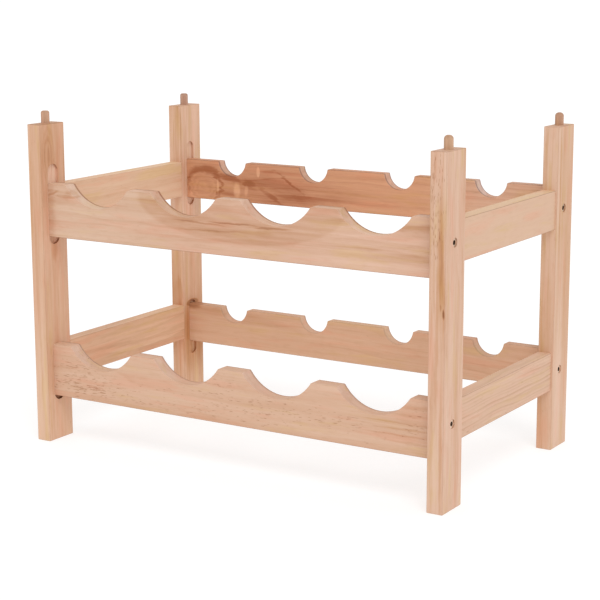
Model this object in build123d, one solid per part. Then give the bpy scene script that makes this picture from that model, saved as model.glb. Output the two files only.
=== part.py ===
from build123d import *
import os

# Stacking wine rack in solid pine: two tiers, each with a scooped front rail for
# the bottle bodies, a notched back rail for the necks and two plain side rails.
# X runs along the rack, Y from front to back and Z up. The origin is the middle
# of the footprint, on the floor. All sizes are in millimetres.

# Whole rack
LENGTH = 450.0
DEPTH = 264.0
TIERS = ("lower", "upper")
SIDES = {"left": -1, "right": 1}
ENDS = {"front": -1, "back": 1}
EDGE_ROUNDING = 0.7

# Posts
POST_THICKNESS = 15.5
POST_WIDTH = 35.5
POST_HEIGHT = 313.0
POST_INNER_X = LENGTH / 2 - POST_THICKNESS
POST_INNER_Y = DEPTH / 2 - POST_WIDTH
POST_CENTRE_X = LENGTH / 2 - POST_THICKNESS / 2
POST_CENTRE_Y = DEPTH / 2 - POST_WIDTH / 2

# Long rails: four scoops each, one for every bottle of the tier
RAIL_TOP = {"lower": 97.0, "upper": 255.5}
BOTTLE_PITCH = 100.7
BOTTLE_X = [BOTTLE_PITCH * step for step in (-1.5, -0.5, 0.5, 1.5)]
LONG_RAILS = {
    "front": {
        "thickness": 15.0,
        "height": 51.6,
        "front_y": -DEPTH / 2 + 9.5,
        "half_chord": 36.8,
        "scoop_depth": 20.0,
        "lip_rounding": 1.2,
    },
    "back": {
        "thickness": 12.0,
        "height": 41.6,
        "front_y": POST_INNER_Y + 10.3,
        "half_chord": 17.0,
        "scoop_depth": 15.2,
        "lip_rounding": 0.8,
    },
}

# Housings: shallow round-ended slots in the posts' inner faces that take the rail ends
HOUSING_Z = {
    "front": {"lower": (40.0, 96.5), "upper": (196.0, 274.0)},
    "back": {"lower": (40.5, 100.0), "upper": (205.5, 274.0)},
}
HOUSING_DEPTH = 2.2
HOUSING_CLEARANCE = 0.1
RAIL_END_GAP = 0.3

# Side rails, flush with the posts' inner X faces
SIDE_RAIL_THICKNESS = 13.6
SIDE_RAIL_HEIGHT = 37.2
SIDE_RAIL_TOP = {"lower": 96.3, "upper": 253.1}
SIDE_RAIL_CENTRE_X = POST_INNER_X + SIDE_RAIL_THICKNESS / 2

# Joint dowels: two hidden in each side rail end
JOINT_DOWEL_RADIUS = 3.0
JOINT_DOWEL_IN_POST = 8.5
JOINT_DOWEL_IN_RAIL = 16.5
JOINT_DOWEL_OFFSET_Z = {"low": -10.0, "high": 10.0}
JOINT_DOWEL_CHAMFER = 0.6
BORE_END_GAP = 0.5
GLUE_CLEARANCE = 0.05

# Stacking dowels: glued in the posts' tops, they enter the feet of a rack above.
# The glued stretch is turned thinner, so that the free end seats on the post.
STACK_DOWEL_RADIUS = 3.7
STACK_DOWEL_IN_POST = 24.0
STACK_DOWEL_FREE_RADIUS = 4.1
STACK_DOWEL_FREE_LENGTH = 12.0
STACK_DOWEL_CROWN = {"left": 2.2, "right": 3.4}
FOOT_BORE_RADIUS = 4.3
FOOT_BORE_DEPTH = 14.0

# Countersunk furniture screws: one through each post into a long rail's end
SCREW_Z = {"lower": 77.5, "upper": 235.0}
SCREW_LENGTH = 40.0
SCREW_HEAD_RADIUS = 4.1
SCREW_HEAD_RIM = 0.4
SCREW_SHANK_RADIUS = 2.2
SCREW_SHANK_LENGTH = 14.0
SCREW_CORE_RADIUS = 1.6
SCREW_PITCH = 1.8
SCREW_TIP_LENGTH = 4.0
SCREW_RECESS = 1.0
SCREW_CLEARANCE = 0.05
SOCKET_ACROSS_FLATS = 4.0
SOCKET_DEPTH = 2.4


def box_between(low, high):
    """A box from its lowest corner to its highest."""
    size = [b - a for a, b in zip(low, high)]
    middle = [(a + b) / 2 for a, b in zip(low, high)]
    return Pos(*middle) * Box(*size)


def rail_middle_y(rail):
    """Mid-thickness of a long rail, where its housings and screws are centred."""
    return rail["front_y"] + rail["thickness"] / 2


def oblong(end, tier, start_x, end_x, grow):
    """Round-ended upright prism of a housing, wider than the rail by grow on each side."""
    rail = LONG_RAILS[end]
    low, high = HOUSING_Z[end][tier]
    outline = Rot(0, 0, 90) * SlotOverall(high - low + 2 * grow, rail["thickness"] + 2 * grow)
    centre = (start_x, rail_middle_y(rail), (low + high) / 2)
    face_plane = Plane(origin=centre, x_dir=(0, 1, 0), z_dir=(1, 0, 0))
    return extrude(face_plane * outline, amount=end_x - start_x)


def screw_envelope(gap):
    """Turned outline of a screw with its head up at the origin, gap larger all round.

    With a gap it is the hole that the screw sits in, with the recess over the head.
    """
    rim = SCREW_HEAD_RADIUS + gap
    shank = SCREW_SHANK_RADIUS + gap
    top = SCREW_RECESS if gap else 0.0
    cone_start = -SCREW_HEAD_RIM
    cone_end = cone_start - (SCREW_HEAD_RADIUS - SCREW_SHANK_RADIUS)
    points = [(0, 0, top), (rim, 0, top), (rim, 0, cone_start), (shank, 0, cone_end)]
    if gap:
        points += [(shank, 0, -SCREW_LENGTH - gap)]
    else:
        points += [(shank, 0, -SCREW_SHANK_LENGTH)]
        points += screw_thread_points()
    points += [(0, 0, -SCREW_LENGTH - gap)]
    return revolve(make_face(Polyline(*points, close=True)), Axis.Z)


def screw_thread_points():
    """Zigzag of the threaded stretch, from the plain shank down to the tip's start."""
    points = []
    z = -SCREW_SHANK_LENGTH
    while z - SCREW_PITCH > -SCREW_LENGTH + SCREW_TIP_LENGTH:
        points += [(SCREW_CORE_RADIUS, 0, z - SCREW_PITCH * 0.35)]
        points += [(SCREW_SHANK_RADIUS, 0, z - SCREW_PITCH)]
        z -= SCREW_PITCH
    points += [(SCREW_CORE_RADIUS, 0, z - SCREW_PITCH * 0.35)]
    return points


def screw_place(end, side, tier):
    """Where a screw's head lies and how its axis points: out of the post's outer face."""
    sign = SIDES[side]
    y = rail_middle_y(LONG_RAILS[end])
    head = (sign * (LENGTH / 2 - SCREW_RECESS), y, SCREW_Z[tier])
    return Plane(origin=head, x_dir=(0, 1, 0), z_dir=(sign, 0, 0)).location


def screw(end, side, tier):
    """One countersunk screw with a hexagon socket."""
    body = screw_envelope(0.0)
    hexagon = RegularPolygon(SOCKET_ACROSS_FLATS / 2, 6, major_radius=False)
    body -= extrude(hexagon, amount=-SOCKET_DEPTH)
    return screw_place(end, side, tier) * body


def joint_dowel_spot(end, side, tier, level):
    """Where a joint dowel crosses the face between a post and a side rail."""
    z = SIDE_RAIL_TOP[tier] - SIDE_RAIL_HEIGHT / 2 + JOINT_DOWEL_OFFSET_Z[level]
    return SIDES[side] * SIDE_RAIL_CENTRE_X, ENDS[end] * POST_INNER_Y, z


def rod_along_y(x, z, radius, start_y, end_y):
    """A round rod parallel to Y."""
    rod = Cylinder(radius, abs(end_y - start_y))
    return Pos(x, (start_y + end_y) / 2, z) * Rot(90, 0, 0) * rod


def joint_dowel(end, side, tier, level):
    """One hidden dowel with chamfered ends."""
    x, y, z = joint_dowel_spot(end, side, tier, level)
    outward = ENDS[end]
    start_y = y - outward * JOINT_DOWEL_IN_RAIL
    end_y = y + outward * JOINT_DOWEL_IN_POST
    rod = rod_along_y(x, z, JOINT_DOWEL_RADIUS, start_y, end_y)
    return chamfer(rod.edges().filter_by(GeomType.CIRCLE), JOINT_DOWEL_CHAMFER)


def joint_bore(end, side, tier, level, depth):
    """The bore for a joint dowel: into the post when depth is positive, else the rail."""
    x, y, z = joint_dowel_spot(end, side, tier, level)
    end_y = y + ENDS[end] * depth
    return rod_along_y(x, z, JOINT_DOWEL_RADIUS + GLUE_CLEARANCE, y, end_y)


def post(end, side):
    """An upright with housings and screw holes for two long rails and bores for dowels."""
    x_sign = SIDES[side]
    x = x_sign * POST_CENTRE_X
    y = ENDS[end] * POST_CENTRE_Y
    body = Pos(x, y, POST_HEIGHT / 2) * Box(POST_THICKNESS, POST_WIDTH, POST_HEIGHT)
    body = fillet(body.edges(), EDGE_ROUNDING)
    mouth_x = x_sign * POST_INNER_X
    floor_x = x_sign * (POST_INNER_X + HOUSING_DEPTH)
    for tier in TIERS:
        body -= oblong(end, tier, mouth_x, floor_x, HOUSING_CLEARANCE)
        body -= screw_place(end, side, tier) * screw_envelope(SCREW_CLEARANCE)
        for level in JOINT_DOWEL_OFFSET_Z:
            body -= joint_bore(end, side, tier, level, JOINT_DOWEL_IN_POST + BORE_END_GAP)
    top_depth = STACK_DOWEL_IN_POST + BORE_END_GAP
    top_bore = Cylinder(STACK_DOWEL_RADIUS + GLUE_CLEARANCE, top_depth)
    foot_bore = Cylinder(FOOT_BORE_RADIUS, FOOT_BORE_DEPTH)
    body -= Pos(x, y, POST_HEIGHT - top_depth / 2) * top_bore
    body -= Pos(x, y, FOOT_BORE_DEPTH / 2) * foot_bore
    return body


def scooped_plank(rail, tier):
    """The part of a long rail that shows between the posts, with its edges eased."""
    top = RAIL_TOP[tier]
    low = top - rail["height"]
    depth = rail["scoop_depth"]
    radius = (rail["half_chord"] ** 2 + depth ** 2) / (2 * depth)
    outline = Pos(0, (low + top) / 2) * Rectangle(2 * POST_INNER_X, rail["height"])
    for x in BOTTLE_X:
        outline -= Pos(x, top - depth + radius) * Circle(radius)
    at_top = [v for v in outline.vertices() if abs(v.Y - top) < 0.01]
    lips = [v for v in at_top if abs(v.X) < POST_INNER_X - 1]
    outline = fillet(lips, rail["lip_rounding"])
    back_y = rail["front_y"] + rail["thickness"]
    face_plane = Plane(origin=(0, back_y, 0), x_dir=(1, 0, 0), z_dir=(0, -1, 0))
    plank = extrude(face_plane * outline, amount=rail["thickness"])
    rims = plank.faces().filter_by(Axis.Y).edges()
    eased = [rim for rim in rims if abs(rim.center().X) < POST_INNER_X - 0.1]
    return fillet(eased, EDGE_ROUNDING)


def long_rail(end, tier):
    """A scooped rail with a tenon in each post's housing and pilot holes for its screws."""
    rail = LONG_RAILS[end]
    body = scooped_plank(rail, tier)
    top = RAIL_TOP[tier]
    low = top - rail["height"]
    tip_x = POST_INNER_X + HOUSING_DEPTH - RAIL_END_GAP
    front_y = rail["front_y"]
    back_y = front_y + rail["thickness"]
    for side, sign in SIDES.items():
        near_x, far_x = sorted((sign * (POST_INNER_X - 1), sign * tip_x))
        stub = box_between((near_x, front_y, low), (far_x, back_y, top))
        housing = oblong(end, tier, sign * POST_INNER_X, sign * (tip_x + 1), 0.0)
        body += stub & housing
    for side in SIDES:
        body -= screw_place(end, side, tier) * screw_envelope(SCREW_CLEARANCE)
    return body


def side_rail(side, tier):
    """A plain rail between a front and a back post, with two dowel bores in each end."""
    top = SIDE_RAIL_TOP[tier]
    x = SIDES[side] * SIDE_RAIL_CENTRE_X
    length = 2 * POST_INNER_Y
    body = Pos(x, 0, top - SIDE_RAIL_HEIGHT / 2) * Box(SIDE_RAIL_THICKNESS, length, SIDE_RAIL_HEIGHT)
    body = fillet(body.edges().filter_by(Axis.Y), EDGE_ROUNDING)
    for end in ENDS:
        for level in JOINT_DOWEL_OFFSET_Z:
            body -= joint_bore(end, side, tier, level, -JOINT_DOWEL_IN_RAIL - BORE_END_GAP)
    return body


def stacking_dowel(end, side):
    """A dowel in a post's top: the glued stretch, then the thicker free end with its crown."""
    glued = Cylinder(STACK_DOWEL_RADIUS, STACK_DOWEL_IN_POST)
    free = Cylinder(STACK_DOWEL_FREE_RADIUS, STACK_DOWEL_FREE_LENGTH)
    crown_edge = free.edges().filter_by(GeomType.CIRCLE).sort_by(Axis.Z)[-1]
    free = fillet(crown_edge, STACK_DOWEL_CROWN[side])
    foot_edge = glued.edges().filter_by(GeomType.CIRCLE).sort_by(Axis.Z)[0]
    glued = chamfer(foot_edge, JOINT_DOWEL_CHAMFER)
    dowel = Pos(0, 0, -STACK_DOWEL_IN_POST / 2) * glued
    dowel += Pos(0, 0, STACK_DOWEL_FREE_LENGTH / 2) * free
    x = SIDES[side] * POST_CENTRE_X
    y = ENDS[end] * POST_CENTRE_Y
    return Pos(x, y, POST_HEIGHT) * dowel


def save(solid, name):
    """Write one piece to its own file."""
    export_step(solid, os.path.join("parts", name + ".step"))


os.makedirs("parts", exist_ok=True)

for end in ENDS:
    for tier in TIERS:
        save(long_rail(end, tier), f"{end}_rail_{tier}")
    for side in SIDES:
        corner = f"{end}_{side}"
        save(post(end, side), f"post_{corner}")
        save(stacking_dowel(end, side), f"stacking_dowel_{corner}")
        for tier in TIERS:
            save(screw(end, side, tier), f"screw_{corner}_{tier}")
            for level in JOINT_DOWEL_OFFSET_Z:
                dowel = joint_dowel(end, side, tier, level)
                save(dowel, f"joint_dowel_{corner}_{tier}_{level}")

for side in SIDES:
    for tier in TIERS:
        save(side_rail(side, tier), f"side_rail_{side}_{tier}")
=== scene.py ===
import math

import bpy
from mathutils import Matrix, Vector


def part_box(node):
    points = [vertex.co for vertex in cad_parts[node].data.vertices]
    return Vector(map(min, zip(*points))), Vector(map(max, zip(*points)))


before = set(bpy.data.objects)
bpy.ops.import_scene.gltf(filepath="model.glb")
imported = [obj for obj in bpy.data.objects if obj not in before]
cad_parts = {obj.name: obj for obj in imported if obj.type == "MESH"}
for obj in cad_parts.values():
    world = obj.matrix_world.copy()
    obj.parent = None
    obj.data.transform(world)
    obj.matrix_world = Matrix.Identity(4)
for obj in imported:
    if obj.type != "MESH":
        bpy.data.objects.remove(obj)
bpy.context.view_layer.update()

# Camera: where it stands, in metres, and how it is turned
CAMERA_PLACE = Vector((0.8597, -1.3787, 0.4768))
CAMERA_AZIMUTH = 31.95
CAMERA_PITCH = -11.65
CAMERA_ROLL = -0.2
CAMERA_LENS = 102.28
CAMERA_SENSOR = 36.0

# Light: an even white room and one broad soft key from the front right, high up
ROOM_STRENGTH = 0.775
HORIZON_STRENGTH = 1.0
HORIZON_BAND = (0.08, 0.22)
KEY_AZIMUTH = 44.0
KEY_ELEVATION = 50.0
KEY_STRENGTH = 0.85
KEY_SPREAD = 30.0
FLOOR_SIZE = 60.0
FLOOR_TONE = 0.44
FLOOR_GLOW = 0.63

ENDS = ("front", "back")
SIDES = ("left", "right")
MM = 1000.0

# Pine: how far torn figures stray from their ovals, in millimetres, how far round a
# figure the rings bend, in half sizes, and the surface
TORN_REACH = (24.0, 7.0, 7.0)
BEND_REACH = 2.2
PINE_SPECULAR = 0.22
PINE_BUMP = {"Strength": 0.5, "Distance": 0.0003}
# Near-black that the darkest tones turn to: dark pitch in knots and streaks, and painted shade at a few
# housings
DARK_PITCH_AND_SHADE = (0.25, 0.09, 0.035, 1)
CANAL_TINT = (0.74, 0.62, 0.53, 1)
# Colour of the painted shade on the housing walls and in their open ends
PAINTED_SHADE_TINT = (0.32, 0.20, 0.12, 1)
ROSY_TINT = (1.02, 0.92, 0.90, 1)
STRAW_TINT = (0.98, 0.99, 0.84, 1)
MOTTLE_TINT = (0.92, 0.88, 0.84, 1)
# Tints for end grain (painted sheen on the scoops of long rails), edges (painted shade on scooped rails) and
# painted light
MARK_TINTS = {"End Grain": "End And Sheen Tint", "Edge": "Edge Tint", "Painted Light": "Painted Light Tint"}

# Layers of noise in the pine: how fast each changes per millimetre, along the grain and
# the two ways across it, the shift of its seed, its detail and its roughness
NOISE_LAYERS = {
    "wander": ((0.005, 0.02, 0.02), 0.0, 2.0, 0.5),
    "ragged": ((0.03, 0.7, 0.7), 1.9, 2.0, 0.6),
    "fade": ((0.012, 0.09, 0.09), 12.0, 1.0, 0.5),
    "streak": ((0.005, 0.16, 0.16), 3.7, 3.0, 0.62),
    "line": ((0.011, 0.8, 0.8), 17.3, 2.0, 0.5),
    "fibre": ((0.045, 1.9, 1.9), 9.1, 3.0, 0.65),
    "dash": ((0.17, 1.45, 1.45), 31.0, 1.0, 0.5),
    "row": ((0.02, 0.30, 0.30), 33.0, 1.0, 0.5),
    "patch": ((0.013, 0.09, 0.09), 7.3, 3.0, 0.6),
    "mottle": ((0.09, 0.35, 0.35), 21.0, 2.0, 0.5),
}

# A rounded edge, told by the product of its normal's parts: where its tint starts and
# where it is full
ROUNDED_EDGE = (0.08, 0.42)

# Housings of the posts, where painted light lifts the floors and painted shade darkens the walls, in
# millimetres from a post's middle: each pair is where the mark ends and where it is full
HOUSING_ACROSS = (8.6, 8.2)
HOUSING_ALONG = (155.0, 154.0)
HOUSING_FLOOR = (6.9, 6.3)
# Painted shade on the housing walls; the feather is that of the painted shade in their open ends
HOUSING_WALL_SHADE = 0.05
VOID_FEATHER = 1.0

# Screws: plate colours, dull and bright, by tier, and the painted shade in the sockets,
# which is gone at the first radius and full at the second, in millimetres
SCREW_PLATE = {
    "lower": ((0.78, 0.60, 0.46), (0.90, 0.74, 0.60)),
    "upper": ((0.60, 0.44, 0.32), (0.76, 0.60, 0.47)),
}
SOCKET_RIM = (2.35, 2.15)
SOCKET_SHADE = (0.25, 0.17, 0.12, 1)
ZINC_ROUGHNESS = (0.32, 0.48)
ZINC_BUMP = {"Strength": 0.2, "Distance": 0.0001}


# ---------------------------------------------------------------- node helpers


class Graph:
    """Short calls that build a node tree and return output sockets."""

    def __init__(self, tree):
        self.tree = tree

    def put(self, value, socket):
        """Link a socket, or set a plain value."""
        if isinstance(value, bpy.types.NodeSocket):
            self.tree.links.new(value, socket)
        elif value is not None:
            socket.default_value = value

    def node(self, kind, inputs=None, **settings):
        made = self.tree.nodes.new(kind)
        for name, value in settings.items():
            setattr(made, name, value)
        for name, value in (inputs or {}).items():
            self.put(value, made.inputs[name])
        return made

    def math(self, operation, *values, clamp=False):
        made = self.node("ShaderNodeMath", operation=operation, use_clamp=clamp)
        for value, socket in zip(values, made.inputs):
            self.put(value, socket)
        return made.outputs[0]

    def vector(self, operation, *values):
        made = self.node("ShaderNodeVectorMath", operation=operation)
        for value, socket in zip(values, made.inputs):
            self.put(value, socket)
        return made.outputs["Value" if operation in ("LENGTH", "DOT_PRODUCT") else "Vector"]

    def scaled(self, vector, factor):
        made = self.node("ShaderNodeVectorMath", operation="SCALE")
        self.put(vector, made.inputs[0])
        self.put(factor, made.inputs["Scale"])
        return made.outputs["Vector"]

    def noise(self, vector, seed, detail=2.0, roughness=0.5, color=False):
        inputs = {"Vector": vector, "W": seed, "Scale": 1.0, "Detail": detail, "Roughness": roughness}
        made = self.node("ShaderNodeTexNoise", inputs, noise_dimensions="4D")
        return made.outputs["Color" if color else "Fac"]

    def remap(self, value, low, high, new_low=0.0, new_high=1.0, smooth=True):
        made = self.node("ShaderNodeMapRange", interpolation_type="SMOOTHSTEP" if smooth else "LINEAR")
        for name, number in (("Value", value), ("From Min", low), ("From Max", high),
                             ("To Min", new_low), ("To Max", new_high)):
            self.put(number, made.inputs[name])
        return made.outputs["Result"]

    def mix(self, factor, a, b, blend="MIX"):
        made = self.node("ShaderNodeMix", data_type="RGBA", blend_type=blend, clamp_factor=True)
        self.put(factor, made.inputs[0])
        self.put(a, made.inputs[6])
        self.put(b, made.inputs[7])
        return made.outputs[2]

    def ramp(self, value, stops):
        made = self.node("ShaderNodeValToRGB", {"Fac": value})
        elements = made.color_ramp.elements
        elements[0].position, elements[0].color = stops[0][0], [stops[0][1]] * 3 + [1.0]
        elements[1].position, elements[1].color = stops[-1][0], [stops[-1][1]] * 3 + [1.0]
        for place, tone in stops[1:-1]:
            elements.new(place).color = [tone] * 3 + [1.0]
        return made.outputs["Color"]

    def xyz(self, vector):
        return self.node("ShaderNodeSeparateXYZ", {"Vector": vector}).outputs

    def combine(self, x, y, z):
        return self.node("ShaderNodeCombineXYZ", {"X": x, "Y": y, "Z": z}).outputs["Vector"]


def new_group(name, inputs, outputs):
    """A node group with named sockets, as (tree, graph, input sockets, output sockets)."""
    tree = bpy.data.node_groups.new(name, "ShaderNodeTree")
    for socket_name, kind, default in inputs:
        socket = tree.interface.new_socket(socket_name, in_out="INPUT", socket_type="NodeSocket" + kind)
        socket.default_value = default
    for socket_name, kind in outputs:
        tree.interface.new_socket(socket_name, in_out="OUTPUT", socket_type="NodeSocket" + kind)
    graph = Graph(tree)
    entry = graph.node("NodeGroupInput")
    leave = graph.node("NodeGroupOutput")
    return tree, graph, entry.outputs, leave.inputs


# ---------------------------------------------------------------- pine


def layer(g, given, name, color=False):
    """One layer of noise over the board."""
    pace, shift, detail, roughness = NOISE_LAYERS[name]
    place = g.vector("MULTIPLY", given["Position"], pace)
    return g.noise(place, g.math("ADD", given["Seed"], shift), detail, roughness, color)


def late_wood(g, given):
    """How late in its year the wood is: 0 in pale early wood, up to 1 in dark late wood."""
    # rings lie round the pith and wander slowly along the board
    wander = g.vector("SUBTRACT", layer(g, given, "wander", color=True), (0.5, 0.5, 0.5))
    wander = g.vector("MULTIPLY", wander, (0.0, 24.0, 24.0))
    across = g.vector("SUBTRACT", given["Position"], given["Pith"])
    across = g.vector("MULTIPLY", across, (0.0, 1.0, 1.0))
    radius = g.vector("LENGTH", g.vector("ADD", across, wander))
    radius = g.math("ADD", radius, given["Bend"])

    # ring number, with uneven years and a slightly ragged late wood
    uneven = g.noise(g.combine(g.math("MULTIPLY", radius, 0.09), 0.0, 0.0), given["Seed"], 1.0)
    phase = g.math("DIVIDE", radius, given["Ring Width"])
    phase = g.math("ADD", phase, g.math("MULTIPLY", uneven, 2.4))
    phase = g.math("ADD", phase, g.math("MULTIPLY", layer(g, given, "ragged"), 0.35))
    year = g.node("ShaderNodeTexWhiteNoise", {"W": g.math("FLOOR", phase)}, noise_dimensions="1D")
    late = g.ramp(g.math("FRACT", phase),
                  [(0.0, 0.9), (0.08, 0.05), (0.45, 0.1), (0.72, 0.42), (0.92, 1.0), (1.0, 0.9)])
    late = g.math("MULTIPLY", late, g.remap(year.outputs["Value"], 0.0, 1.0, 0.25, 1.0, smooth=False))
    return g.math("MULTIPLY", late, g.remap(layer(g, given, "fade"), 0.3, 0.62, 0.3, 1.0))


def resin_canals(g, given):
    """Short thin dashes along the grain, in uneven rows."""
    level = g.math("SUBTRACT", 0.78, g.math("MULTIPLY", given["Canals"], 0.50))
    uneven = g.math("MULTIPLY", g.math("SUBTRACT", layer(g, given, "row"), 0.5), 0.22)
    level = g.math("SUBTRACT", level, uneven)
    return g.remap(g.math("SUBTRACT", layer(g, given, "dash"), level), 0.0, 0.07)


def wood_tone(g, given, late, fibre):
    """From pale at 0 to deep at 1: rings, long soft streaks, thin dark lines, fibres, and the figures' marks,
    some of them painted shade and painted light.
    """
    streak = g.math("SUBTRACT", layer(g, given, "streak"), 0.47)
    line = g.remap(layer(g, given, "line"), 0.58, 0.76)
    tone = g.math("ADD", g.math("MULTIPLY", late, given["Rings"]),
                  g.math("MULTIPLY", streak, given["Streaks"]))
    tone = g.math("ADD", tone, g.math("MULTIPLY", g.math("MULTIPLY", line, given["Streaks"]), 0.35))
    tone = g.math("ADD", tone, g.math("MULTIPLY", fibre, 0.5))
    tone = g.math("ADD", tone, 0.16)
    return g.math("ADD", tone, given["Stain And Shading"])


def wood_color(g, given, tone, canal):
    """The tone's colour, its drift over the board and the canals, then the tints of end grain and edges, in
    part painted sheen and painted shade, then painted light and painted shade.
    """
    color = g.mix(tone, given["Pale"], given["Deep"])
    color = g.mix(g.math("SUBTRACT", tone, 1.0), color, DARK_PITCH_AND_SHADE)
    patch = layer(g, given, "patch")
    color = g.mix(g.remap(patch, 0.5, 0.68), color, ROSY_TINT, "MULTIPLY")
    color = g.mix(g.remap(patch, 0.48, 0.32), color, STRAW_TINT, "MULTIPLY")
    mottle = layer(g, given, "mottle")
    color = g.mix(g.remap(mottle, 0.5, 0.75, 0.0, 0.5), color, MOTTLE_TINT, "MULTIPLY")
    color = g.mix(canal, color, CANAL_TINT, "MULTIPLY")
    for mark in ("End Grain", "Edge", "Painted Light"):
        tinted = g.mix(1.0, color, given[MARK_TINTS[mark]], "MULTIPLY")
        color = g.mix(given[mark], color, tinted)
    return g.mix(given["Painted Shade"], color, PAINTED_SHADE_TINT, "MULTIPLY")


def build_pine_group():
    """Solid pine in three dimensions, in millimetres, with X along the grain.

    Growth rings lie round a pith line that runs near X, so faces, edges and end
    grain of one piece all show the same wood.
    """
    tree, g, given, result = new_group(
        "pine",
        [
            ("Position", "Vector", (0, 0, 0)),
            ("Pith", "Vector", (0, 0, 0)),
            ("Seed", "Float", 0.0),
            ("Ring Width", "Float", 5.0),
            ("Rings", "Float", 0.5),
            ("Streaks", "Float", 0.5),
            ("Canals", "Float", 0.3),
            ("Bend", "Float", 0.0),
            ("Stain And Shading", "Float", 0.0),
            ("Pale", "Color", (0.74, 0.48, 0.33, 1)),
            ("Deep", "Color", (0.6, 0.33, 0.18, 1)),
            ("End Grain", "Float", 0.0),
            ("End And Sheen Tint", "Color", (0.94, 0.91, 0.89, 1)),
            ("Edge", "Float", 0.0),
            ("Edge Tint", "Color", (0.72, 0.68, 0.66, 1)),
            # Painted light on housing floors and upward faces, and painted shade in housings
            ("Painted Light", "Float", 0.0),
            ("Painted Light Tint", "Color", (1.05, 1.09, 1.13, 1)),
            ("Painted Shade", "Float", 0.0),
        ],
        [("Color", "Color"), ("Roughness", "Float"), ("Height", "Float")],
    )
    late = late_wood(g, given)
    canal = resin_canals(g, given)
    fibre = g.math("SUBTRACT", layer(g, given, "fibre"), 0.5)
    tone = wood_tone(g, given, late, fibre)
    g.put(wood_color(g, given, tone, canal), result["Color"])

    rough = g.math("ADD", 0.58, g.math("MULTIPLY", fibre, 0.22))
    rough = g.math("SUBTRACT", rough, g.math("MULTIPLY", late, 0.08), clamp=True)
    g.put(rough, result["Roughness"])
    height = g.math("ADD", g.math("MULTIPLY", fibre, 0.6), g.math("MULTIPLY", late, 0.3))
    height = g.math("SUBTRACT", height, g.math("MULTIPLY", canal, 0.8))
    g.put(height, result["Height"])
    return tree


def build_figure_group():
    """An oval figure in the wood: a knot or spot when it is small, a streak or band when long.

    Distance is 0 at its middle and 1 at its rim.
    """
    tree, g, given, result = new_group(
        "figure",
        [
            ("Position", "Vector", (0, 0, 0)),
            ("Centre", "Vector", (0, 0, 0)),
            ("Half Size", "Vector", (10, 100, 10)),
            ("Tilt", "Float", 0.0),
            ("Wobble", "Float", 0.15),
            ("Seed", "Float", 0.0),
        ],
        [("Distance", "Float")],
    )
    offset = g.vector("SUBTRACT", given["Position"], given["Centre"])
    turn = {"Vector": offset, "Angle": given["Tilt"]}
    turned = g.node("ShaderNodeVectorRotate", turn, rotation_type="Y_AXIS")
    unit = g.vector("DIVIDE", turned.outputs["Vector"], given["Half Size"])
    rough = g.noise(g.vector("MULTIPLY", unit, (1.6, 1.6, 1.6)), given["Seed"], 3.0, 0.55, color=True)
    rough = g.vector("SUBTRACT", rough, (0.5, 0.5, 0.5))
    unit = g.vector("ADD", unit, g.scaled(rough, given["Wobble"]))
    g.put(g.vector("LENGTH", unit), result["Distance"])
    return tree


def new_material(name):
    """An empty node material, and the graph that fills it."""
    material = bpy.data.materials.new(name)
    material.use_nodes = True
    material.node_tree.nodes.clear()
    return material, Graph(material.node_tree)


def surface(g, color, roughness, height, bump_settings):
    """A principled shader with fine bump, linked to the material's output."""
    bump = g.node("ShaderNodeBump", dict(bump_settings, Height=height))
    looks = {"Base Color": color, "Roughness": roughness, "Normal": bump.outputs["Normal"]}
    shader = g.node("ShaderNodeBsdfPrincipled", looks)
    g.node("ShaderNodeOutputMaterial", {"Surface": shader.outputs[0]})
    return shader


PINE = build_pine_group()
FIGURE = build_figure_group()
GRAIN_ORDER = {"X": (0, 1, 2), "Y": (1, 0, 2), "Z": (2, 1, 0)}
GRAIN_VECTOR = {"X": (1, 0, 0), "Y": (0, 1, 0), "Z": (0, 0, 1)}


def grain_position(g, node_name, grain):
    """Millimetres from the piece's middle: X along the grain, then the two ways across."""
    low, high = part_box(node_name)
    middle = (low + high) / 2
    coordinate = g.node("ShaderNodeTexCoord").outputs["Object"]
    parts = g.xyz(g.scaled(g.vector("SUBTRACT", coordinate, tuple(middle)), MM))
    return g.combine(*(parts[axis] for axis in GRAIN_ORDER[grain]))


def figure(centre, half, tilt=0.0, stain_and_shading=0.0, feather=0.2, wobble=0.3, waves=0.0, wave_depth=0.0,
           push=0.0, canals=0.0, crisp=False):
    """What one oval figure does to the wood.

    stain darkens it, or lightens it below 0, and waves band it: on most figures this is the
    wood's own colour, on a few, marked in the tables, painted shade and painted light. push
    bends the rings round it. canals adds resin canals. A crisp figure keeps its oval; any other
    is torn along the grain.
    """
    return dict(centre=centre, half=half, tilt=tilt, stain_and_shading=stain_and_shading, feather=feather, wobble=wobble,
                waves=waves, wave_depth=wave_depth, push=push, canals=canals, crisp=crisp)


def rail_edge_shade(g, place, normal, half, lines):
    """Painted shade on a scooped rail's edges: its bottom edges, and lines along its top and scoops.

    The lines run at the front and at the back of the sawn faces; half is half the
    rail's thickness, and lines says how strong they are and how wide: fully dark up
    to the first width from the rail's face, gone at the second.
    """
    y, z = g.xyz(normal)[1:3]
    flat = g.math("ABSOLUTE", y)
    across = g.xyz(place)[1]
    sawn = g.math("MULTIPLY", g.remap(flat, 0.85, 0.6), g.remap(z, -0.1, 0.1))
    front_strength, back_strength, dark, gone = lines
    front = g.remap(across, gone - half, dark - half, 0.0, front_strength)
    back = g.remap(across, half - gone, half - dark, 0.0, back_strength)
    downward = g.math("MULTIPLY", g.math("MAXIMUM", g.math("MULTIPLY", z, -1.0), 0.0), flat)
    below = g.remap(downward, *ROUNDED_EDGE)
    return g.math("ADD", g.math("MULTIPLY", sawn, g.math("MAXIMUM", front, back)), below, clamp=True)


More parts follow.
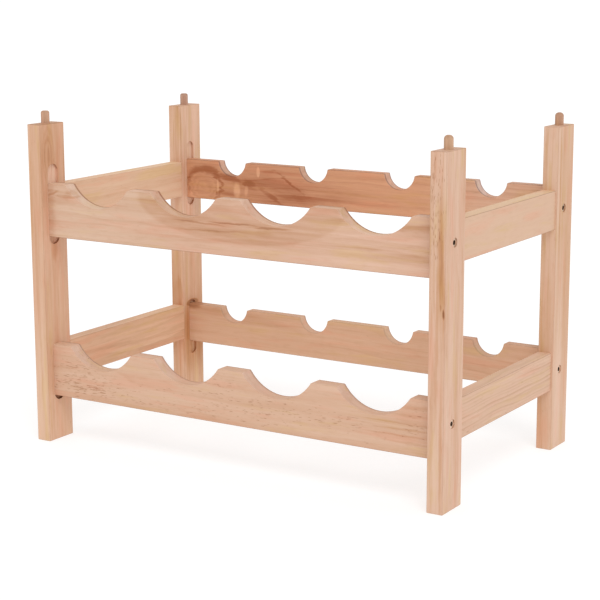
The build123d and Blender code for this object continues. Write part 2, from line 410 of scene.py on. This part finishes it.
def corner_edges(g, normal, strength):
    """How dark the small roundings of a plain piece are; 0 on its faces."""
    ax, ay, az = (g.math("ABSOLUTE", part) for part in g.xyz(normal))
    total = g.math("ADD", g.math("MULTIPLY", ax, ay), g.math("MULTIPLY", ay, az))
    total = g.math("ADD", total, g.math("MULTIPLY", ax, az))
    return g.remap(total, *ROUNDED_EDGE, 0.0, strength)


def housing_marks(g, place, normal, middle, voids):
    """The housings of a post: painted light on their floors, and painted shade on their walls and voids.

    A void is an end of a housing that the rail leaves open: where it starts and ends
    along the post, and how dark it is.
    """
    along, y, x = g.xyz(place)
    near = g.remap(g.math("ABSOLUTE", g.math("SUBTRACT", y, middle)), *HOUSING_ACROSS)
    inside = g.math("MULTIPLY", near, g.remap(g.math("ABSOLUTE", along), *HOUSING_ALONG))
    flat = g.remap(g.math("ABSOLUTE", g.xyz(normal)[0]), 0.5, 0.8)
    below = g.remap(g.math("ABSOLUTE", x), *HOUSING_FLOOR)
    floor = g.math("MULTIPLY", g.math("MULTIPLY", inside, flat), below)
    wall = g.math("MULTIPLY", inside, g.math("SUBTRACT", 1.0, flat))
    dark = g.math("MULTIPLY", wall, HOUSING_WALL_SHADE)
    for start, end, strength in voids:
        entered = g.remap(along, start - VOID_FEATHER, start)
        left = g.remap(along, end + VOID_FEATHER, end, 0.0, strength)
        void = g.math("MULTIPLY", entered, left)
        dark = g.math("ADD", dark, g.math("MULTIPLY", void, g.math("MAXIMUM", floor, wall)))
    return floor, dark


def figure_marks(g, place, torn_place, seed, figures, canals):
    """What a board's figures add up to: the bend of its rings, its colour with painted shade and light, and
    its canals.
    """
    bend = 0.0
    stain_and_shading = 0.0
    for number, item in enumerate(figures):
        found = g.node("ShaderNodeGroup", node_tree=FIGURE)
        for name, value in (("Position", place if item["crisp"] else torn_place),
                            ("Centre", item["centre"]), ("Half Size", item["half"]),
                            ("Tilt", math.radians(item["tilt"])), ("Wobble", item["wobble"]),
                            ("Seed", seed + number)):
            g.put(value, found.inputs[name])
        distance = found.outputs["Distance"]
        reach = g.remap(distance, 1.0 + item["feather"], 1.0 - item["feather"])
        strength = item["stain_and_shading"]
        if item["waves"]:
            waves = g.math("SINE", g.math("MULTIPLY", distance, item["waves"] * 2 * math.pi))
            strength = g.math("ADD", g.math("MULTIPLY", waves, item["wave_depth"]), strength)
        stain_and_shading = g.math("ADD", g.math("MULTIPLY", reach, strength), stain_and_shading)
        if item["push"]:
            pushed = g.math("MULTIPLY", g.remap(distance, BEND_REACH, 0.0), item["push"])
            bend = g.math("ADD", pushed, bend)
        if item["canals"]:
            canals = g.math("ADD", g.math("MULTIPLY", reach, item["canals"]), canals)
    return bend, stain_and_shading, canals


def pine(node_name, grain, seed, pale, deep, pith, ring_width, rings, streaks, canals, figures=(),
         tear=0.5, lines=None, edge_tint=(0.72, 0.68, 0.66), end_and_sheen_tint=(0.94, 0.91, 0.89),
         housing=None, top_sheen_tint=None, arris=0.5, turn=None):
    """The pine of one piece.

    tear says how far its figures are torn along the grain. lines sets the painted shade along
    the edges of a scooped rail, and arris darkens the rounded edges of any other piece. housing
    is where a post's housings lie across it, and their voids: painted light on their floors,
    painted shade on their walls and voids. top_sheen_tint lightens upward faces as painted sheen.
    end_and_sheen_tint tints faces across the grain: the end grain, and on scooped rails the scoops, where
    it is painted sheen. turn is a stretch along the board, from start to stop, over which the
    pale wood turns to another colour.
    """
    material, g = new_material("pine_" + node_name)
    place = grain_position(g, node_name, grain)
    ragged = g.noise(g.vector("MULTIPLY", place, (0.06, 0.28, 0.28)), seed + 50.0, 3.0, 0.6, color=True)
    ragged = g.vector("MULTIPLY", g.vector("SUBTRACT", ragged, (0.5, 0.5, 0.5)), TORN_REACH)
    torn_place = g.vector("ADD", place, g.scaled(ragged, tear))
    bend, stain_and_shading, canals = figure_marks(g, place, torn_place, seed, figures, canals)
    normal = g.node("ShaderNodeNewGeometry").outputs["Normal"]
    end = g.math("ABSOLUTE", g.vector("DOT_PRODUCT", normal, GRAIN_VECTOR[grain]))
    low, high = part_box(node_name)
    half = (high.y - low.y) / 2 * MM
    # On scooped rails the edges get painted shade
    edge = rail_edge_shade(g, place, normal, half, lines) if lines else corner_edges(g, normal, arris)
    pale = (*pale, 1)
    if turn is not None:
        start, stop, other = turn
        pale = g.mix(g.remap(g.xyz(place)[0], start, stop), pale, (*other, 1))
    wood = g.node("ShaderNodeGroup", node_tree=PINE)
    for name, value in (("Position", place), ("Pith", pith), ("Seed", seed), ("Ring Width", ring_width),
                        ("Rings", rings), ("Streaks", streaks), ("Canals", canals),
                        ("Bend", bend), ("Stain And Shading", stain_and_shading), ("Pale", pale), ("Deep", (*deep, 1)),
                        ("End Grain", g.remap(end, 0.15, 0.6)), ("End And Sheen Tint", (*end_and_sheen_tint, 1)),
                        ("Edge", edge), ("Edge Tint", (*edge_tint, 1))):
        g.put(value, wood.inputs[name])
    if housing is not None:
        # Painted light on the housing floors, painted shade on their walls and open ends
        floor, dark = housing_marks(g, place, normal, *housing)
        g.put(floor, wood.inputs["Painted Light"])
        g.put(dark, wood.inputs["Painted Shade"])
    # Painted sheen: upward faces made lighter
    if top_sheen_tint is not None:
        g.put(g.remap(g.xyz(normal)[2], 0.8, 0.95), wood.inputs["Painted Light"])
        g.put((*top_sheen_tint, 1), wood.inputs["Painted Light Tint"])
    color, roughness, height = (wood.outputs[name] for name in ("Color", "Roughness", "Height"))
    shader = surface(g, color, roughness, height, PINE_BUMP)
    shader.inputs["Specular IOR Level"].default_value = PINE_SPECULAR
    return material


def zinc(node_name, dull, bright):
    """Yellow-passivated zinc plate of one screw, cloudy and finely grained, with painted shade in the socket.
    """
    material, g = new_material("zinc_" + node_name)
    coordinate = g.node("ShaderNodeTexCoord").outputs["Object"]
    place = g.scaled(coordinate, MM)
    low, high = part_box(node_name)
    offset = g.scaled(g.vector("SUBTRACT", coordinate, tuple((low + high) / 2)), MM)
    off_axis = g.vector("LENGTH", g.vector("MULTIPLY", offset, (0.0, 1.0, 1.0)))
    cloud = g.noise(g.vector("MULTIPLY", place, (0.5, 0.5, 0.5)), 2.0, 3.0, 0.6)
    grain = g.noise(g.vector("MULTIPLY", place, (6.0, 6.0, 6.0)), 4.0, 2.0, 0.6)
    color = g.mix(cloud, (*dull, 1), (*bright, 1))
    color = g.mix(g.remap(off_axis, *SOCKET_RIM), color, SOCKET_SHADE)
    shader = surface(g, color, g.remap(grain, 0.3, 0.7, *ZINC_ROUGHNESS), grain, ZINC_BUMP)
    shader.inputs["Metallic"].default_value = 1.0
    return material


# ---------------------------------------------------------------- the rack's pieces

# One entry for each board. Colours are linear red, green and blue, and tints multiply
# them. A figure's place is in millimetres from the board's middle, along the grain and
# then the two ways across: X, Y, Z for the long rails, Y, X, Z for the side rails and
# Z, Y, X for the posts.
# On the long rails the end tint falls on the scoops and lightens them as painted sheen, the top tint lightens
# the flat tops as painted sheen, and the edge lines put painted shade along the rail edges
LONG_RAILS = {
    "front_rail_upper": dict(
        lines=(0.0, 1.0, 2.2, 3.3), edge_tint=(0.60, 0.44, 0.36), end_and_sheen_tint=(1.03, 1.08, 1.14),
        top_sheen_tint=(1.08, 1.12, 1.12), turn=(-110, -40, (0.722, 0.474, 0.350)),
        seed=3.0, pale=(0.698, 0.482, 0.352), deep=(0.522, 0.273, 0.155), pith=(0, 70, -55),
        ring_width=7.0, rings=0.30, streaks=0.9, canals=0.05,
        figures=(
            figure((100, 0, 20), (200, 90, 38), stain_and_shading=0.13, feather=0.02, wobble=0.05,
                   waves=6, wave_depth=0.06, push=-3),
            figure((10, 0, 22), (112, 90, 36), stain_and_shading=0.24, feather=0.03, wobble=0.06, crisp=True),
            figure((4, 0, 22), (60, 90, 15), stain_and_shading=-0.18, feather=0.6, wobble=0.4),
            figure((-30, 0, -1), (66, 90, 10), tilt=8, stain_and_shading=0.08, feather=0.5, wobble=0.4),
            figure((40, 0, -7), (90, 90, 8), tilt=1, stain_and_shading=0.10, feather=0.5, wobble=0.4),
            figure((4, -8, 4.6), (24, 12, 0.8), tilt=0.5, stain_and_shading=0.75, feather=0.4, wobble=0.3),
            figure((46, -8, 3.2), (20, 12, 0.9), tilt=1, stain_and_shading=0.6, feather=0.5, wobble=0.4),
            figure((-32, -8, 2.4), (26, 12, 0.8), tilt=-2, stain_and_shading=0.5, feather=0.5, wobble=0.4),
            figure((-18, -8, -4), (34, 12, 0.8), tilt=2, stain_and_shading=0.4, feather=0.5, wobble=0.4),
            figure((38, -8, 0), (8, 12, 6), stain_and_shading=0.12, feather=0.6, wobble=0.5),
            figure((-60, -8, 3), (30, 12, 3.5), tilt=8, stain_and_shading=0.22, feather=0.5, wobble=0.6),
            figure((-205, -8, 16.5), (8, 12, 1.1), tilt=22, stain_and_shading=0.55, feather=0.5, wobble=0.4),
            figure((-187, -8, 15), (15, 12, 1.1), tilt=-1, stain_and_shading=0.5, feather=0.5, wobble=0.5),
            figure((-196, -8, 11), (17, 12, 3.5), tilt=-3, stain_and_shading=0.24, feather=0.5, wobble=0.6),
            figure((-182, -8, 19), (8, 12, 4), tilt=30, stain_and_shading=0.26, feather=0.5, wobble=0.9),
            figure((130, -8, -8), (60, 12, 14), stain_and_shading=-0.16, feather=0.6, wobble=0.5),
            # Painted highlight along the top of the front face
            figure((0, -8, 23.4), (900, 12, 3), stain_and_shading=-0.10, feather=0.15, wobble=0.02, crisp=True),
            figure((-207, -8, -2), (5, 14, 24), stain_and_shading=0.34, feather=0.6, wobble=0.9),
            figure((195, -8, 16), (26, 14, 2.6), tilt=6, stain_and_shading=0.32, feather=0.5, wobble=0.5),
            figure((185, -8, -13), (46, 14, 4.5), tilt=3, stain_and_shading=0.14, feather=0.6, wobble=0.5),
        ),
    ),
    "front_rail_lower": dict(
        lines=(0.0, 0.8, 1.5, 2.8), edge_tint=(0.62, 0.54, 0.50), end_and_sheen_tint=(1.0, 1.05, 1.14),
        top_sheen_tint=(1.02, 1.03, 1.03),
        seed=7.4, pale=(0.690, 0.458, 0.328), deep=(0.531, 0.276, 0.153), pith=(0, 90, 20),
        ring_width=6.0, rings=0.25, streaks=0.8, canals=0.04,
        figures=(
            figure((-10, 0, -9), (190, 40, 14), tilt=1.5, stain_and_shading=0.03, feather=0.3, wobble=0.5, canals=0.22),
            figure((60, 0, -4), (60, 40, 9), tilt=3, stain_and_shading=0.0, feather=0.5, wobble=0.5, canals=0.08),
            figure((-20, 0, 14), (30, 40, 8), stain_and_shading=0.0, feather=0.5, wobble=0.5, canals=0.25),
            figure((-180, 0, 0), (45, 40, 24), stain_and_shading=0.02, feather=0.5, wobble=0.5, canals=0.24),
            figure((185, 0, -4), (45, 14, 7), tilt=2, stain_and_shading=0.10, feather=0.6, wobble=0.5),
            figure((176, -8, 2), (34, 12, 0.8), stain_and_shading=0.35, feather=0.5, wobble=0.5),
            figure((186, -8, -3), (30, 12, 1.0), tilt=1, stain_and_shading=0.40, feather=0.5, wobble=0.5),
            figure((178, -8, -9), (38, 12, 0.8), stain_and_shading=0.32, feather=0.5, wobble=0.5),
            figure((190, -8, -15), (26, 12, 1.0), tilt=-1, stain_and_shading=0.32, feather=0.5, wobble=0.5),
            figure((194, -8, 17), (16, 12, 1.6), tilt=2, stain_and_shading=0.26, feather=0.6, wobble=0.6),
            figure((188, -8, 10), (20, 12, 1.2), stain_and_shading=0.34, feather=0.6, wobble=0.6),
            figure((196, -8, 6), (18, 12, 20), stain_and_shading=0.08, feather=0.5, wobble=0.5, canals=0.22),
            # Painted highlight along the top of the front face
            figure((0, -8, 23.4), (900, 12, 3), stain_and_shading=-0.07, feather=0.15, wobble=0.02, crisp=True),
            figure((0, 0, -27), (260, 20, 6), stain_and_shading=0.22, feather=0.6, wobble=0.3),
        ),
    ),
    "back_rail_upper": dict(
        lines=(0.9, 0.8, 1.5, 2.8), edge_tint=(0.52, 0.42, 0.40), end_and_sheen_tint=(1.02, 1.28, 1.62),
        tear=0.8, turn=(60, 150, (0.740, 0.465, 0.320)),
        seed=12.7, pale=(0.720, 0.382, 0.223), deep=(0.375, 0.128, 0.055), pith=(0, 40, -70),
        ring_width=6.0, rings=0.22, streaks=0.55, canals=0.04,
        figures=(
            figure((-187, -6, -4), (23, 16, 20), stain_and_shading=0.50, feather=0.10, wobble=0.4),
            figure((-188, -6, -8), (20, 16, 17), stain_and_shading=-0.50, feather=0.15, wobble=0.5,
                   waves=3, wave_depth=0.07),
            figure((-188, -6, 11), (14, 16, 3), tilt=4, stain_and_shading=0.10, feather=0.6, wobble=0.8),
            figure((-155, -6, 4), (13, 12, 3), tilt=-8, stain_and_shading=0.50, feather=0.5, wobble=0.7),
            figure((-129, -6, -1), (7, 12, 3.5), tilt=-14, stain_and_shading=0.50, feather=0.6, wobble=0.7),
            figure((-128, -6, -2), (18, 12, 8), tilt=-10, stain_and_shading=0.18, feather=0.5, wobble=0.8),
            figure((-155, -6, -13), (13, 12, 2.5), tilt=-8, stain_and_shading=0.30, feather=0.6, wobble=0.8),
            figure((-104, -6, 14.5), (13, 12, 1.2), tilt=4, stain_and_shading=0.30, feather=0.6, wobble=0.4),
            figure((-80, -6, 4), (16, 12, 1.4), tilt=-34, stain_and_shading=0.40, feather=0.6, wobble=0.5),
            figure((-88, -6, -3), (32, 12, 8), tilt=-14, stain_and_shading=0.28, feather=0.5, wobble=0.7),
            figure((-102, -6, -12), (16, 12, 2.5), tilt=-30, stain_and_shading=0.34, feather=0.5, wobble=0.8),
            figure((-60, -6, -13), (60, 12, 5), tilt=6, stain_and_shading=0.25, feather=0.6, wobble=0.6),
            figure((-110, 0, 0), (90, 30, 30), stain_and_shading=0.22, feather=0.6, wobble=0.4),
            figure((-169.5, -6, -7), (1.2, 12, 9), stain_and_shading=-0.40, feather=0.5, wobble=0.4, crisp=True),
            figure((-145, -6, -9), (4, 12, 8), stain_and_shading=-0.45, feather=0.4, wobble=0.3, crisp=True),
            figure((-133, -6, -8), (2, 12, 6), tilt=-8, stain_and_shading=-0.30, feather=0.5, wobble=0.3, crisp=True),
            figure((-118, -6, 12.5), (1.9, 12, 5), stain_and_shading=-0.75, feather=0.3, wobble=0.2, crisp=True),
        ),
    ),
    "back_rail_lower": dict(
        lines=(0.4, 0.6, 1.5, 2.8), edge_tint=(0.60, 0.52, 0.48), end_and_sheen_tint=(1.0, 1.07, 1.13),
        seed=16.1, pale=(0.695, 0.441, 0.295), deep=(0.502, 0.245, 0.128), pith=(0, 60, 45),
        ring_width=6.0, rings=0.22, streaks=0.7, canals=0.03,
        figures=(
            figure((-150, 0, 14), (70, 30, 5), tilt=-4, stain_and_shading=0.30, feather=0.5, wobble=0.4),
            # Painted shade on the rail's top where it meets the back left post
            figure((-206, 0, 20), (11, 30, 4), stain_and_shading=0.9, feather=0.5, wobble=0.4),
            figure((-130, 0, 0), (80, 30, 40), stain_and_shading=0.08, feather=0.5, wobble=0.3),
        ),
    ),
}
SIDE_RAILS = {
    "side_rail_right_upper": dict(
        top_sheen_tint=(1.10, 1.13, 1.04), arris=1.0,
        seed=23.0, pale=(0.698, 0.469, 0.332), deep=(0.594, 0.357, 0.227), pith=(0, -60, -30),
        ring_width=7.0, rings=0.22, streaks=0.6, canals=0.02,
    ),
    "side_rail_right_lower": dict(
        top_sheen_tint=(1.05, 1.07, 1.06), arris=0.8,
        seed=27.5, pale=(0.718, 0.480, 0.348), deep=(0.515, 0.293, 0.177), pith=(0, -16, -46),
        ring_width=3.4, rings=0.62, streaks=0.6, canals=0.08,
    ),
    "side_rail_left_upper": dict(
        top_sheen_tint=(1.04, 1.05, 1.02),
        seed=31.2, pale=(0.776, 0.530, 0.369), deep=(0.582, 0.317, 0.172), pith=(0, 40, -70),
        ring_width=8.0, rings=0.25, streaks=0.7, canals=0.02,
    ),
    "side_rail_left_lower": dict(
        top_sheen_tint=(1.06, 1.10, 1.12),
        seed=35.9, pale=(0.754, 0.475, 0.314), deep=(0.480, 0.242, 0.118), pith=(0, 45, -40),
        ring_width=8.0, rings=0.35, streaks=0.8, canals=0.02,
    ),
}
# Painted shade in the open ends of the front posts' housings: start and end along the post, in millimetres,
# and how dark
FRONT_VOID_SHADE = ((-118, -109, 0.9), (39, 50, 0.12))
POSTS = {
    "post_front_left": dict(
        housing=(-0.75, FRONT_VOID_SHADE), end_and_sheen_tint=(0.82, 0.74, 0.66),
        seed=41.3, pale=(0.734, 0.490, 0.348), deep=(0.561, 0.288, 0.156), pith=(0, 40, 30),
        ring_width=6.0, rings=0.28, streaks=1.0, canals=0.05,
        figures=(
            figure((20, 0, 9.5), (220, 30, 5), stain_and_shading=0.26, feather=0.6, wobble=0.3),
            figure((30, -18, -3), (70, 8, 8), stain_and_shading=0.10, feather=0.5, wobble=0.4),
            figure((110, 0, 9.5), (60, 30, 5), stain_and_shading=0.16, feather=0.6, wobble=0.3),
            figure((95, -18, 1), (75, 8, 8), stain_and_shading=0.22, feather=0.6, wobble=0.4),
            figure((48, -14, 8), (32, 6, 4), stain_and_shading=-0.22, feather=0.6, wobble=0.4),
            figure((88, -17, 6.5), (30, 6, 3), tilt=2, stain_and_shading=0.12, feather=0.5, wobble=0.5),
            # Painted light in the open top of the upper housing, lifting the shade on its floor and walls
            figure((107, 0, 5.6), (30, 14, 2.0), stain_and_shading=-0.70, feather=0.1, crisp=True),
            figure((125, -6, 8), (30, 9, 6), stain_and_shading=0.20, feather=0.15, wobble=0.6,
                   waves=2.2, wave_depth=0.14),
            figure((82, -13, 8), (34, 6, 3), stain_and_shading=-0.28, feather=0.4, wobble=0.4),
            figure((33, -1, 8), (9, 4, 3), stain_and_shading=0.35, feather=0.6, wobble=0.6),
            figure((-75, -4, 8), (60, 4, 5), stain_and_shading=0.14, feather=0.4, wobble=0.6),
            figure((90, -18, -5), (60, 8, 1.3), tilt=1, stain_and_shading=0.3, feather=0.6, wobble=0.5),
            figure((-20, -18, -1), (80, 8, 1.6), tilt=-1, stain_and_shading=0.25, feather=0.6, wobble=0.5),
            figure((-105, -18, -2), (50, 8, 9), stain_and_shading=-0.08, feather=0.5, wobble=0.4),
            figure((130, 0, 8), (28, 20, 4), stain_and_shading=0.07, feather=0.5, wobble=0.4),
        ),
    ),
    "post_front_right": dict(
        housing=(-0.75, FRONT_VOID_SHADE),
        seed=45.8, pale=(0.729, 0.500, 0.377), deep=(0.549, 0.278, 0.143), pith=(0, -30, -45),
        ring_width=5.0, rings=0.30, streaks=1.0, canals=0.03,
        figures=(
            figure((50, -18, -1), (120, 9, 10), stain_and_shading=0.12, feather=0.5, wobble=0.4),
            figure((112, -18, -1), (52, 8, 9), stain_and_shading=0.02, feather=0.5, wobble=0.4, canals=0.36),
            figure((70, -18, 3), (50, 10, 3.2), tilt=1, stain_and_shading=0.42, feather=0.6, wobble=0.5),
            figure((42, -18, 5.2), (48, 10, 2.0), tilt=-2, stain_and_shading=0.32, feather=0.6, wobble=0.5),
            figure((-20, -18, 0), (60, 10, 1.6), stain_and_shading=0.35, feather=0.6, wobble=0.6),
            figure((-75, -18, -4), (45, 10, 2.4), tilt=1.5, stain_and_shading=0.35, feather=0.6, wobble=0.6),
            figure((-100, -18, 5), (60, 10, 1.4), stain_and_shading=0.35, feather=0.6, wobble=0.6),
            figure((-60, 4, 8), (90, 5, 5), stain_and_shading=0.16, feather=0.6, wobble=0.5),
            figure((19.5, -18, 6.2), (4.5, 8, 0.9), stain_and_shading=1.1, feather=0.5, wobble=0.4),
            figure((25, -18, 3.6), (3, 8, 0.6), stain_and_shading=0.5, feather=0.5, wobble=0.4),
            figure((120, 12, 8), (50, 6, 5), stain_and_shading=0.10, feather=0.5, wobble=0.6),
            figure((-105, -18, 0), (60, 8, 12), stain_and_shading=-0.07, feather=0.5, wobble=0.4),
            figure((-132, 6, 8), (30, 2.2, 3), tilt=0.5, stain_and_shading=0.18, feather=0.6, wobble=0.4),
            figure((-70, 3.5, 8), (42, 1.8, 3), tilt=0.5, stain_and_shading=0.14, feather=0.6, wobble=0.4),
        ),
    ),
    "post_back_left": dict(
        housing=(-1.45, ()),
        seed=49.1, pale=(0.748, 0.500, 0.364), deep=(0.508, 0.240, 0.102), pith=(0, -70, 0),
        ring_width=3.6, rings=0.30, streaks=1.1, canals=0.02,
        figures=(
            figure((-70, 0, 0), (110, 30, 14), stain_and_shading=0.34, feather=0.35, wobble=0.3),
            figure((-20, -18, 0), (60, 8, 10), stain_and_shading=0.06, feather=0.5, wobble=0.4),
            figure((-20, 0, 8), (45, 20, 4), stain_and_shading=-0.08, feather=0.5, wobble=0.4),
            figure((-96, 0, 8), (36, 20, 5), stain_and_shading=0.38, feather=0.5, wobble=0.4),
            # Painted shade in the open top of the lower housing
            figure((-59, -1.5, 8.4), (4.4, 11, 1.7), stain_and_shading=0.85, feather=0.15, wobble=0.2, crisp=True),
        ),
    ),
    "post_back_right": dict(
        housing=(-1.45, ()),
        seed=53.6, pale=(0.724, 0.491, 0.362), deep=(0.552, 0.288, 0.138), pith=(0, -10, -60),
        ring_width=6.0, rings=0.3, streaks=0.9, canals=0.05,
        figures=(
            figure((-40, -18, -4), (120, 14, 7), stain_and_shading=0.22, feather=0.5, wobble=0.3),
            figure((70, 0, 8), (90, 12, 4), stain_and_shading=0.16, feather=0.5, wobble=0.3),
            figure((60, 4, 8), (110, 30, 4), stain_and_shading=0.10, feather=0.4, wobble=0.3),
            figure((90, -18, 0), (80, 7, 10), stain_and_shading=-0.18, feather=0.5, wobble=0.3),
            figure((-90, -18, 0), (70, 8, 10), stain_and_shading=0.12, feather=0.5, wobble=0.3),
            figure((-105, 4, 8), (45, 30, 4), stain_and_shading=-0.09, feather=0.5, wobble=0.3),
            figure((95, -11.2, 8), (70, 1.2, 4), stain_and_shading=0.55, feather=0.5, wobble=0.2),
            figure((100, -5, 8), (60, 6, 4), stain_and_shading=0.10, feather=0.5, wobble=0.3),
            figure((-30, 9, 8), (150, 8, 4), stain_and_shading=0.16, feather=0.4, wobble=0.3),
            figure((-30, -9, 8), (150, 8, 4), stain_and_shading=-0.08, feather=0.4, wobble=0.3),
            figure((100, -18, -5.5), (60, 8, 2.0), tilt=1, stain_and_shading=0.48, feather=0.6, wobble=0.5),
        ),
    ),
}
DOWEL_LOOK = dict(deep=(0.42, 0.22, 0.13), pith=(0, 9, 7), ring_width=2.5, rings=0.3, streaks=0.8, canals=0.0)
STACKING_DOWEL_SEED = 60.0
STACKING_DOWEL_SEED_STEP = 2.3
JOINT_DOWEL_SEED = 70.0
JOINT_DOWEL_PALE = (0.66, 0.43, 0.31)
STACKING_DOWEL_PALE = {
    "front_left": (0.66, 0.42, 0.29), "front_right": (0.70, 0.46, 0.30),
    "back_left": (0.56, 0.34, 0.25), "back_right": (0.60, 0.36, 0.24),
}


def dress(node_name, material):
    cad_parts[node_name].material_slots[0].material = material


for boards, grain in ((LONG_RAILS, "X"), (SIDE_RAILS, "Y"), (POSTS, "Z")):
    for name, look in boards.items():
        dress(name, pine(name, grain, **look))

for number, (end, side) in enumerate((end, side) for end in ENDS for side in SIDES):
    name = f"stacking_dowel_{end}_{side}"
    seed = STACKING_DOWEL_SEED + STACKING_DOWEL_SEED_STEP * number
    dress(name, pine(name, "Z", seed, pale=STACKING_DOWEL_PALE[f"{end}_{side}"], **DOWEL_LOOK))

hidden_dowel = pine("joint_dowel_front_left_lower_low", "Y", JOINT_DOWEL_SEED, pale=JOINT_DOWEL_PALE,
                    **DOWEL_LOOK)
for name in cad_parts:
    if name.startswith("joint_dowel"):
        dress(name, hidden_dowel)
    if name.startswith("screw"):
        dress(name, zinc(name, *SCREW_PLATE[name.rsplit("_", 1)[1]]))


# ---------------------------------------------------------------- stage, light and camera


def build_floor():
    """A wide pale floor."""
    half = FLOOR_SIZE / 2
    mesh = bpy.data.meshes.new("floor")
    corners = [(-half, -half, 0), (half, -half, 0), (half, half, 0), (-half, half, 0)]
    mesh.from_pydata(corners, [], [(0, 1, 2, 3)])
    floor = bpy.data.objects.new("floor", mesh)
    bpy.context.scene.collection.objects.link(floor)
    material = bpy.data.materials.new("floor_paint")
    material.use_nodes = True
    shader = material.node_tree.nodes["Principled BSDF"]
    shader.inputs["Base Color"].default_value = (FLOOR_TONE, FLOOR_TONE, FLOOR_TONE, 1)
    shader.inputs["Emission Color"].default_value = (1, 1, 1, 1)
    shader.inputs["Emission Strength"].default_value = FLOOR_GLOW
    shader.inputs["Roughness"].default_value = 0.9
    shader.inputs["Specular IOR Level"].default_value = 0.1
    mesh.materials.append(material)


def build_sun(name, azimuth, elevation, strength, spread):
    """A broad soft light. Azimuth 0 stands in front of the rack and 90 on its right."""
    light = bpy.data.lights.new(name, "SUN")
    light.energy = strength
    light.angle = math.radians(spread)
    lamp = bpy.data.objects.new(name, light)
    bpy.context.scene.collection.objects.link(lamp)
    flat = math.cos(math.radians(elevation))
    towards = Vector((math.sin(math.radians(azimuth)) * flat,
                      -math.cos(math.radians(azimuth)) * flat,
                      math.sin(math.radians(elevation))))
    lamp.rotation_euler = towards.to_track_quat("Z", "Y").to_euler()


def build_room():
    """A white surround, a little brighter towards the horizon."""
    world = bpy.data.worlds.new("white_room")
    world.use_nodes = True
    g = Graph(world.node_tree)
    background = world.node_tree.nodes["Background"]
    background.inputs["Color"].default_value = (1, 1, 1, 1)
    height = g.xyz(g.node("ShaderNodeTexCoord").outputs["Generated"])[2]
    g.put(g.remap(height, *HORIZON_BAND, HORIZON_STRENGTH, ROOM_STRENGTH), background.inputs["Strength"])
    bpy.context.scene.world = world


def build_camera():
    """The camera, at the height and angle that the rack is seen from."""
    data = bpy.data.cameras.new("camera")
    data.lens = CAMERA_LENS
    data.sensor_width = CAMERA_SENSOR
    camera = bpy.data.objects.new("camera", data)
    bpy.context.scene.collection.objects.link(camera)
    azimuth, pitch = math.radians(CAMERA_AZIMUTH), math.radians(CAMERA_PITCH)
    level = math.cos(pitch)
    forward = Vector((-math.sin(azimuth) * level, math.cos(azimuth) * level, math.sin(pitch)))
    right = Vector((math.cos(azimuth), math.sin(azimuth), 0.0))
    up = right.cross(forward)
    turn = Matrix((right, up, -forward)).transposed().to_4x4()
    roll = Matrix.Rotation(math.radians(CAMERA_ROLL), 4, "Z")
    camera.matrix_world = Matrix.Translation(CAMERA_PLACE) @ turn @ roll
    bpy.context.scene.camera = camera


build_floor()
build_room()
build_sun("key_light", KEY_AZIMUTH, KEY_ELEVATION, KEY_STRENGTH, KEY_SPREAD)
build_camera()
bpy.context.scene.view_settings.view_transform = "Standard"
